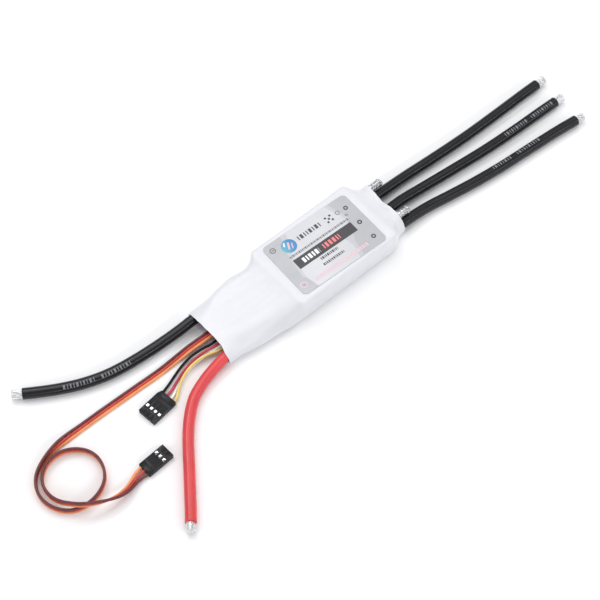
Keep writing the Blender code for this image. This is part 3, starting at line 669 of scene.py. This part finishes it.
# x, then the four corner rounds from the lower near one, each y, z and radius, in mm
FILM_STATIONS = [
    (-60.5, [(-12.1, 4.2, 3.8), (13.8, 4.2, 3.75), (7.0, 5.4, 3.6), (-5.5, 5.4, 3.6)]),
    (-54.0, [(-12.5, 3.9, 3.8), (14.3, 4.0, 3.8), (10.5, 6.0, 3.8), (-8.0, 6.0, 3.8)]),
    (-47.0, [(-13.6, 4.1, 4.1), (14.3, 4.0, 4.0), (13.6, 6.6, 4.0), (-10.0, 6.4, 4.2)]),
    (-40.0, [(-14.4, 4.2, 4.2), (14.8, 4.0, 4.0), (14.2, 7.2, 4.2), (-11.4, 6.9, 4.5)]),
    (-33.0, [(-15.0, 4.2, 4.2), (15.0, 4.0, 4.0), (14.6, 7.5, 4.5), (-12.4, 7.4, 4.6)]),
    (-28.0, [(-16.0, 4.0, 4.0), (14.6, 4.0, 4.0), (13.2, 8.2, 4.4), (-13.4, 8.2, 4.4)]),
    (-24.0, [(-16.8, 3.2, 3.2), (15.0, 3.6, 3.6), (12.8, 9.4, 4.0), (-14.6, 9.5, 3.9)]),
    (-20.5, [(-17.5, 2.5, 2.5), (16.5, 3.0, 3.0), (14.5, 11.0, 3.5), (-16.2, 11.6, 2.9)]),
    (-18.0, FILM_ON_BLOCK),
    (41.0, FILM_ON_BLOCK),
    (43.0, [(-17.0, 2.4, 2.4), (17.0, 2.4, 2.4), (16.8, 12.2, 2.4), (-16.8, 12.2, 2.4)]),
    (44.5, [(-15.5, 3.0, 3.0), (15.5, 3.0, 3.0), (14.2, 11.0, 2.9), (-14.4, 11.0, 2.9)]),
    (46.5, [(-13.5, 3.4, 3.4), (13.0, 3.4, 3.4), (12.6, 10.0, 3.1), (-11.8, 10.0, 3.1)]),
    (49.0, [(-12.2, 3.8, 3.7), (10.6, 3.8, 3.7), (12.1, 9.0, 3.1), (-9.8, 9.0, 3.1)]),
    (53.0, [(-11.8, 4.2, 3.7), (9.2, 4.2, 3.7), (12.0, 8.7, 3.0), (-9.0, 8.7, 3.0)]),
]


def steady_slopes(xs, values):
    """Slopes at each station that never overshoot between them."""
    steps = [(b - a) / (x1 - x0) for a, b, x0, x1 in zip(values, values[1:], xs, xs[1:])]
    slopes = [steps[0]]
    for before, after in zip(steps, steps[1:]):
        slopes.append(0.0 if before * after <= 0 else 2 * before * after / (before + after))
    return slopes + [steps[-1]]


def film_rounds():
    """A function that gives the four rounds at any x."""
    xs = [x for x, _ in FILM_STATIONS]
    tracks = [[rounds[corner][part] for _, rounds in FILM_STATIONS]
              for corner in range(4) for part in range(3)]
    slopes = [steady_slopes(xs, track) for track in tracks]

    def at(x):
        index = max(0, min(len(xs) - 2, sum(1 for station in xs[1:-1] if station <= x)))
        width = xs[index + 1] - xs[index]
        t = (x - xs[index]) / width
        values = []
        for track, slope in zip(tracks, slopes):
            a, b = track[index], track[index + 1]
            values.append((1 + 2 * t) * (1 - t) ** 2 * a + t * (1 - t) ** 2 * width * slope[index]
                          + t * t * (3 - 2 * t) * b + t * t * (t - 1) * width * slope[index + 1])
        return [tuple(values[corner * 3:corner * 3 + 3]) for corner in range(4)]

    return at


def taut_outline(rounds):
    """The outline of a film pulled round four rods, with points along its straight spans too."""
    arc, span = 9, 10
    angles = []
    for (y0, z0, r0), (y1, z1, r1) in zip(rounds, rounds[1:] + rounds[:1]):
        reach = hypot(y1 - y0, z1 - z0)
        angles.append(atan2(z1 - z0, y1 - y0) - pi / 2 + asin((r0 - r1) / reach))
    corners = []
    for (y, z, radius), before, after in zip(rounds, angles[-1:] + angles[:-1], angles):
        turn = (after - before) % tau
        corners.append([(y + radius * cos(before + turn * step / arc),
                         z + radius * sin(before + turn * step / arc)) for step in range(arc + 1)])
    outline = []
    for corner, following in zip(corners, corners[1:] + corners[:1]):
        outline += corner
        (y0, z0), (y1, z1) = corner[-1], following[0]
        outline += [(y0 + (y1 - y0) * step / span, z0 + (z1 - z0) * step / span) for step in range(1, span)]
    return outline


def ease(value, start, end):
    t = max(0.0, min(1.0, (value - start) / (end - start)))
    return t * t * (3 - 2 * t)


def film_tuck(x, y, z):
    """How far the film is drawn in at a point, in mm: soft folds where the block narrows, none elsewhere."""
    battery = ease(x, -60, -52) * (1 - ease(x, -21, -17.5))
    motor = ease(x, 41.5, 44) * (1 - ease(x, 50, 53))
    top = ease(z, 3.0, 6.0)
    fold = 0.5 + 0.5 * noise.noise(Vector((x * 0.05, y * 0.32, z * 0.25)))
    crease = 0.5 + 0.5 * noise.noise(Vector((x * 0.12 + 9.0, y * 0.7, z * 0.6)))
    between = exp(-((y - 1.4) / 4.5) ** 2) * ease(x, 46, 52.5)
    return top * (battery * (0.3 * fold + 0.12 * crease) + motor * (0.35 * fold + 0.3 * crease)
                  + 0.9 * between)


def even_ring(outline, count):
    """The closed outline as evenly spaced points, from the middle of its underside."""
    middle = sum(z for _, z in outline) / len(outline)
    for k, (y1, z1) in enumerate(outline):
        y0, z0 = outline[k - 1]
        if y0 < 0.0 <= y1 and max(z0, z1) < middle:
            start = (0.0, z0 + (z1 - z0) * -y0 / (y1 - y0))
            ring = [start, *outline[k:], *outline[:k], start]
            break
    return even_steps(ring, count=count)[:-1]


def relax(rings, xs, rounds):
    """Soft shrunk film has no hard creases: its upper side is averaged with its neighbours on the neck."""
    for _ in range(rounds):
        calmer = []
        for number, ring in enumerate(rings):
            x = xs[number]
            neck = 1.0 - ease(x, -23.0, -19.5) + 0.7 * ease(x, 43.0, 46.0)
            calm = []
            for k, (y, z) in enumerate(ring):
                share = neck * ease(z, 4.6, 7.0)
                left, right = ring[k - 1], ring[(k + 1) % len(ring)]
                before = rings[max(0, number - 1)][k]
                after = rings[min(len(rings) - 1, number + 1)][k]
                mean = [(left[i] + right[i] + before[i] + after[i]) / 4 for i in (0, 1)]
                calm.append([y + (mean[0] - y) * share * 0.6, z + (mean[1] - z) * share * 0.6])
            calmer.append(calm)
        rings = calmer
    return rings


def build_film(material):
    rounds_at = film_rounds()
    xs = [BATTERY_MOUTH + 0.8 * step for step in range(54)]
    xs += [-17.7, -17.0, -16.0, -13.0] + [-9.0 + 4.0 * step for step in range(12)]
    xs += [38.0, 40.0, 41.0, 41.6, 42.2, 42.8, 43.4, 44.0, 44.6, 45.2, 46.0, 46.8, 47.6, 48.5, 49.4, 50.3,
           51.2, 52.1, 53.0]
    flat_rings = relax([even_ring(taut_outline(rounds_at(x)), FILM_POINTS) for x in xs], xs, 24)
    rings = []
    for x, outline in zip(xs, flat_rings):
        ring = []
        middle_z = sum(z for _, z in outline) / len(outline)
        for index, (y, z) in enumerate(outline):
            before, after = outline[index - 1], outline[(index + 1) % len(outline)]
            along = Vector((after[0] - before[0], after[1] - before[1])).normalized()
            inward = Vector((-along.y, along.x))
            tuck = film_tuck(x, y, z)
            upper = ease(z, middle_z - 2, middle_z + 2)
            battery_rim = 1 - ease(x, -60.5, -56)
            motor_rim = ease(x, 49, 53)
            shift = -1.4 * ease(-y, 7, 14) * battery_rim
            shift += 0.35 * noise.noise(Vector((y * 0.35, z * 0.35, 4.0))) * battery_rim
            shift -= (0.5 * upper * exp(-((y - 1.4) / 5.0) ** 2) + 0.45
                      - 0.3 * noise.noise(Vector((y * 0.4, z * 0.4, 8.0)))) * motor_rim
            ring.append(Vector((x + shift, y + inward.x * tuck, z + inward.y * tuck)) * MM)
        rings.append(ring)
    film = add_mesh("heat_shrink_film", *join_rings(rings, closed=False), material)
    wall = film.modifiers.new("wall", "SOLIDIFY")
    wall.thickness = FILM_WALL * MM
    wall.offset = -1.0
    apply_modifiers(film)
    soften(film, 0.12 * MM, 2, 60.0)
    apply_modifiers(film)
    return settle(film, "white_film", "heat_shrink_sleeve")


# ---- label

LABEL_CENTRE = (11.6, -0.6)
LABEL_TURN = radians(-2.2)
FOIL_TOP, FIELD_TOP, BAND_TOP, INK_TOP = 15.24, 15.26, 15.3, 15.33


def on_label(x, y, z):
    turned_x = x * cos(LABEL_TURN) - y * sin(LABEL_TURN)
    turned_y = x * sin(LABEL_TURN) + y * cos(LABEL_TURN)
    return Vector((LABEL_CENTRE[0] + turned_x, LABEL_CENTRE[1] + turned_y, z)) * MM


def rounded_rectangle(length, width, radius):
    corners, steps = [], 8
    for quarter, (side_x, side_y) in enumerate([(1, 1), (-1, 1), (-1, -1), (1, -1)]):
        for step in range(steps + 1):
            angle = pi / 2 * (quarter + step / steps)
            corners.append((side_x * (length / 2 - radius) + radius * cos(angle),
                            side_y * (width / 2 - radius) + radius * sin(angle)))
    return corners


def circle(x, y, radius, steps=28):
    return [(x + radius * cos(tau * k / steps), y + radius * sin(tau * k / steps))
            for k in range(steps)]


def bar(x, y, length, height):
    """A rectangle centred on x, y."""
    return [(x + side_x * length / 2, y + side_y * height / 2)
            for side_x, side_y in ((-1, -1), (1, -1), (1, 1), (-1, 1))]


def printed(name, shapes, bottom, top, material, rings=()):
    """A thin printed layer, raised from bottom to top in mm: each shape is an outline on the label, and
    each ring a centre and its two radii."""
    skins = [join_rings([[on_label(*spot, height) for spot in outline] for height in (bottom, top)])
             for outline in shapes]
    for x, y, outer, inner in rings:
        corners = ((outer, bottom), (outer, top), (inner, top), (inner, bottom), (outer, bottom))
        skins.append(join_rings([[on_label(*spot, height) for spot in circle(x, y, radius)]
                                 for radius, height in corners], closed=False))
    return settle(add_mesh(name, *together(skins), material, smooth=False), "silver_label")


def dashes(start, end, y, height, pattern, gap):
    """A broken line of small bars from start to end, in place of words."""
    shapes, x, number = [], start, 0
    while x < end:
        length = min(pattern[number % len(pattern)], end - x)
        shapes.append(bar(x + length / 2, y, length, height))
        x += length + gap
        number += 1
    return shapes


def build_label():
    """The foil sheet, its paler fields, and bars, rings and dashes in place of all that is printed on it."""
    silver, pale, middle = (label_finish(name + " label foil", colour) for name, colour in (
        ("silver", (0.405, 0.41, 0.43)), ("pale", (0.545, 0.545, 0.57)), ("middle", (0.47, 0.472, 0.495))))
    dark, black, grey, white, coral, peach = (ink_finish(name + " label ink", colour) for name, colour in (
        ("dark", (0.03, 0.027, 0.033)), ("black", (0.04, 0.04, 0.045)), ("grey", (0.1, 0.1, 0.11)),
        ("white", (0.82, 0.82, 0.83)), ("coral", (0.75, 0.18, 0.19)), ("peach", (0.72, 0.46, 0.46))))
    pink = ink_finish("pink label ink", (0.72, 0.46, 0.52), (0.72, 0.56, 0.6))
    sheet = printed("label_sheet", [rounded_rectangle(52.2, 34.0, 2.5)], 15.02, FOIL_TOP, silver)
    soften(sheet, 0.06 * MM, 2)
    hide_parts("rating_label")
    field = [(-11.0, 16.9), (13.5, 16.9), (17.6, 4.0), (12.6, -9.0), (11.0, -16.9), (-17.5, -16.9),
             (-19.0, -9.5), (-16.6, 4.2)]
    printed("label_pale_field", [field], FOIL_TOP, FIELD_TOP, pale)
    facets = [[(-14.4, 16.9), (-11.0, 16.9), (-16.6, 4.2), (-19.0, -9.5), (-20.4, -8.6), (-18.6, 4.4)],
              [(13.5, 16.9), (15.4, 16.9), (19.2, 4.2), (17.6, 4.0)],
              [(9.6, -4.2), (17.5, 3.8), (12.6, -9.0), (11.0, -16.9), (8.6, -16.9), (10.6, -9.4)]]
    printed("label_soft_facets", facets, FOIL_TOP, 15.265, middle)
    printed("label_band", [bar(-0.3, -1.0, 36.2, 6.1)], FIELD_TOP, BAND_TOP, dark)
    printed("label_band_white_marks", dashes(-14.4, -4.2, -1.0, 2.9, (1.5, 0.8, 1.5, 1.0), 0.75),
            BAND_TOP, INK_TOP, white)
    printed("label_band_coral_marks", dashes(-1.6, 8.6, -0.9, 2.9, (0.7, 1.4, 1.4, 1.5), 0.8),
            BAND_TOP, INK_TOP, coral)
    marks = dashes(-8.3, 5.9, 10.5, 2.6, (0.6, 1.5, 0.6, 0.6, 1.4), 0.9)
    marks += dashes(-7.0, 3.4, -5.7, 1.5, (0.5, 0.9, 0.4), 0.42)
    marks += dashes(-8.0, 4.6, -9.1, 1.4, (0.8, 0.4, 0.6), 0.42)
    marks += [bar(10.9 + 1.4 * column, 10.0 + 1.4 * row, 1.1, 1.1)
              for column in (-1, 0, 1) for row in (-1, 0, 1) if (column + row) % 2 == 0]
    printed("label_black_marks", marks, FIELD_TOP, 15.29, black,
            [(21.5, 9.9, 1.25, 0.55), (21.5, -0.9, 1.3, 0.55), (21.5, -11.5, 1.25, 0.55)])
    small = dashes(-18.4, 18.1, 4.1, 1.3, (0.55, 0.35, 0.8, 0.4), 0.42)
    small.append(bar(-22.4, 12.6, 1.4, 0.45))
    printed("label_small_marks", small, FIELD_TOP, 15.28, grey,
            [(-22.4, 12.6, 1.6, 1.15), (16.4, 10.2, 1.2, 0.85), (19.0, 6.4, 0.7, 0.45)])
    soft = dashes(-16.0, 16.4, -13.1, 2.1, (1.0, 0.6, 1.4, 0.8), 0.5)
    soft += [bar(-22.7, -12.0, 1.8, 0.5), bar(-22.7, -12.0, 0.5, 1.8)]
    printed("label_pink_marks", soft, FIELD_TOP, 15.28, pink, [(-22.7, -12.0, 1.9, 1.45)])
    printed("label_emblem", [circle(-14.4, 9.9, 4.0, 48)], FIELD_TOP, BAND_TOP, emblem_finish())
    strokes = [[(-16.0, 8.2), (-15.0, 8.0), (-13.2, 11.8), (-14.1, 12.0)],
               [(-13.9, 7.6), (-13.3, 7.7), (-12.0, 10.4), (-12.5, 10.7)]]
    printed("label_emblem_strokes", strokes, BAND_TOP, INK_TOP, peach)
    printed("label_emblem_glint", [[(-16.9, 10.9), (-16.2, 10.7), (-15.2, 12.7), (-15.8, 12.8)]],
            BAND_TOP, INK_TOP, white)


# ---- water nipples


NIPPLE_SIDES = 64
NIPPLE_HEIGHT = 8.7
KNURL_DEPTH = 0.22


def build_nipples(material):
    """Turned and knurled hose nipples with two barbs, the film shrunk close round their roots."""
    for side, y, tip, phase in (("far", 12.0, 60.5, 0.0), ("near", -9.0, 59.9, 0.4)):
        outside = [
            (34.8, 1.95), (48.6, 1.95), (50.4, 2.0), (51.6, 2.0), (52.0, 1.6), (52.7, 1.6), (53.1, 2.1),
            (53.9, 2.2), (54.2, 2.2), (54.35, 1.65), (54.8, 1.65), (55.0, 2.05), (55.9, 2.1), (56.1, 1.7),
            (56.5, 1.7), (56.7, 2.1), (tip - 2.5, 2.1), (tip - 2.3, 1.62), (tip - 1.9, 1.62),
            (tip - 1.7, 2.2), (tip - 1.1, 2.2), (tip - 0.2, 1.86), (tip, 1.7), (tip, 1.36),
            (tip - 0.15, 1.3), (34.8, 1.3)]
        rings = []
        for x, radius in outside:
            knurled = 52.9 < x < tip - 0.9 and radius > 1.9
            ring = []
            for number in range(NIPPLE_SIDES):
                angle = tau * number / NIPPLE_SIDES + phase
                reach = radius - (KNURL_DEPTH if knurled and number % 8 < 3 else 0.0)
                ring.append(Vector((x, y + reach * cos(angle),
                                    NIPPLE_HEIGHT + reach * sin(angle))) * MM)
            rings.append(ring)
        rings.append(rings[0])
        nipple = add_mesh(f"water_nipple_{side}_turned", *join_rings(rings, closed=False), material)
        soften(nipple, 0.04 * MM, 1, 25.0)
        settle(nipple, "nipple_metal", f"water_nipple_{side}")


# ---- plugs

PLUGS = {"servo": (3, (-119.5, -31.9), 2.8), "program": (4, (-101.9, -10.7), 186.5)}
SMOOTH_BELOW = radians(35.0)
PLUG_HALF = 7.3
PLUG_HEIGHT = 2.5


def upright(name, prisms, place, material):
    """Upright prisms in one object: each an outline, its bottom and its top, in mm on the plug."""
    skins = [join_rings([[place @ (Vector((*spot, height)) * MM) for spot in outline]
                         for height in (bottom, top)]) for outline, bottom, top in prisms]
    return add_mesh(name, *together(skins), material, smooth=False)


def box(x0, x1, y0, y1, z0, z1):
    return [(x0, y0), (x1, y0), (x1, y1), (x0, y1)], z0, z1


def carve(piece, cutters):
    for cutter in cutters:
        boolean = piece.modifiers.new(cutter.name, "BOOLEAN")
        boolean.operation = "DIFFERENCE"
        boolean.solver = "EXACT"
        boolean.use_self = True
        boolean.object = cutter
    apply_modifiers(piece)
    for cutter in cutters:
        bpy.data.objects.remove(cutter, do_unlink=True)


def build_plug(name, plastic, metal):
    """A crimp housing: square pin holes, a latch tongue and window over each circuit, wire cavities."""
    pins, centre, heading = PLUGS[name]
    place = (Matrix.Translation((centre[0] * MM, centre[1] * MM, 0.0))
             @ Matrix.Rotation(radians(heading), 4, "Z"))
    half_width = pins * PIN_PITCH / 2
    half, tall = PLUG_HALF, PLUG_HEIGHT
    chamfer = (2.2, 0.8) if name == "program" else (0.3, 0.2)
    outline = [
        (-half, -half_width + chamfer[1]), (-half + chamfer[0], -half_width), (half - 0.2, -half_width),
        (half, -half_width + 0.2), (half, half_width), (-half + 0.4, half_width), (-half, half_width - 0.25)]
    shell = upright(f"{name}_plug_shell", [(outline, 0.0, tall)], place, plastic)
    middle, over = tall / 2, tall + 1
    cuts = {kind: [] for kind in ("cavities", "holes", "windows", "slots", "grooves")}
    barbs = []
    for pin in range(pins):
        y = (pin - (pins - 1) / 2) * PIN_PITCH
        cuts["cavities"].append(box(-half - 1, half - 2.2, y - 0.96, y + 0.96, middle - 0.96, middle + 0.96))
        for depth, reach in ((3.2, 0.45), (0.3, 0.68)):
            cuts["holes"].append(box(half - depth, half + 1, y - reach, y + reach, middle - reach,
                                     middle + reach))
        cuts["windows"].append(box(1.6, 3.4, y - 0.78, y + 0.78, middle, over))
        cuts["slots"] += [box(-2.6, 1.9, y - 0.74, y - 0.6, tall - 0.12, over),
                          box(-2.6, 1.9, y + 0.6, y + 0.74, tall - 0.12, over)]
        if name == "servo":
            barb = [(3.3, 0.7), (1.65, 0.7), (3.3, -0.7)]
        else:
            barb = [(1.9, -0.62), (3.2, -0.62), (3.2, 0.35), (2.9, 0.62), (1.9, 0.62)]
        barbs.append(([(x, y + offset) for x, offset in barb], middle + 0.5, tall - 0.14))
    for pin in range(1, pins):
        y = (pin - pins / 2) * PIN_PITCH
        cuts["grooves"].append(box(half - 2.6, half + 1, y - 0.06, y + 0.06, tall - 0.07, over))
    cuts["grooves"].append(box(3.1 - half, 3.3 - half, -half_width - 1, half_width + 1, tall - 0.06, over))
    carve(shell, [upright(f"{name} {kind}", boxes, place, plastic) for kind, boxes in cuts.items()])
    soften(shell, 0.09 * MM, 2, 30.0)
    apply_modifiers(shell)
    clean_moulding(shell)
    glints = upright(f"{name}_plug_contact_barbs", barbs, place, metal)
    soften(glints, 0.05 * MM, 2)
    settle(shell, "plug_black", f"{name}_plug_housing")
    settle(glints, "contact_metal")
    return [shell, glints] + [f"{name}_contact_{pin + 1}" for pin in range(pins)]


def clean_moulding(piece):
    """Merge points that the bevel left on top of each other, delete faces left loose, and shade the rest
    smooth, with its sharper edges kept."""
    clean = bmesh.new()
    clean.from_mesh(piece.data)
    bmesh.ops.remove_doubles(clean, verts=clean.verts, dist=1e-6)
    bmesh.ops.dissolve_degenerate(clean, edges=clean.edges, dist=1e-6)
    loose = [face for face in clean.faces if not any(len(edge.link_faces) == 2 for edge in face.edges)]
    bmesh.ops.delete(clean, geom=loose, context="FACES")
    clean.normal_update()
    for face in clean.faces:
        face.smooth = True
    for edge in clean.edges:
        edge.smooth = edge.is_manifold and edge.calc_face_angle() < SMOOTH_BELOW
    clean.to_mesh(piece.data)
    clean.free()


# ---- carried-over CAD nodes


def dress(nodes, material):
    for node in nodes:
        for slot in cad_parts[node].material_slots:
            slot.material = material


def dress_carried_over():
    dress(["power_board", "control_board"], laminate_finish())
    dress(["cooling_plate", "channel_plug"], machined_finish())
    dress(["thermal_pad"], pad_finish())
    dress([*(f"mosfet_{number}" for number in range(1, 7)), "board_header", "microcontroller",
           *(f"gate_driver_{letter}" for letter in "abc"), "bec_regulator"],
          moulded_finish("moulded package", (0.03, 0.03, 0.034), 0.5, 0.012, 3000.0))
    dress(["bec_inductor"], moulded_finish("inductor ferrite", (0.13, 0.13, 0.14), 0.6, 0.03, 1400.0, 1.4))
    dress([f"capacitor_{place}_{side}" for place in ("block", "neck") for side in ("far", "near")],
          jacket_finish())
    dress([node.replace("lead", "terminal") for node in LEADS],
          plated_finish("solder joint", (0.74, 0.75, 0.77), 0.3, 0.03, 0.7, 500.0))
    dress([f"{name}_contact_{pin + 1}" for name, (pins, _, _) in PLUGS.items() for pin in range(pins)],
          plated_finish("contact shank", (0.3, 0.29, 0.26), 0.4, 0.006, 0.8, 1500.0))


def build_floor():
    places = [(*corner, FLOOR_HEIGHT) for corner in bar(0.0, 0.0, 2 * FLOOR_REACH, 2 * FLOOR_REACH)]
    add_mesh("studio_floor", places, [(0, 1, 2, 3)], floor_finish(), smooth=False)


make_camera()
make_studio()
build_floor()
tin_strands = plated_finish("tinned strands", (0.9, 0.9, 0.91), 0.3, 0.02, 0.72, 1100.0)
contact_metal = plated_finish("plated contact", (0.93, 0.92, 0.88), 0.26, 0.006, 0.85, 1500.0)
build_leads(silicone_finish("black silicone", (0.006, 0.006, 0.009), (0.035, 0.035, 0.04)),
            silicone_finish("red silicone", (0.65, 0.06, 0.065), (0.85, 0.25, 0.25), 0.1), tin_strands)
plug_plastic = moulded_finish("plug plastic", (0.006, 0.006, 0.008), 0.42, 0.03, 1500.0, 1.6)
plug_pieces = {name: build_plug(name, plug_plastic, contact_metal) for name in PLUGS}
build_wires()
build_film(film_finish())
build_label()
# The nipples' metal is darkened to 0.45 in cloudy patches: painted dark reflections, like those of their
# knurled metal.
build_nipples(plated_finish("nickel plated brass", (0.74, 0.74, 0.76), 0.22, 0.02, 0.45, 900.0))
dress_carried_over()
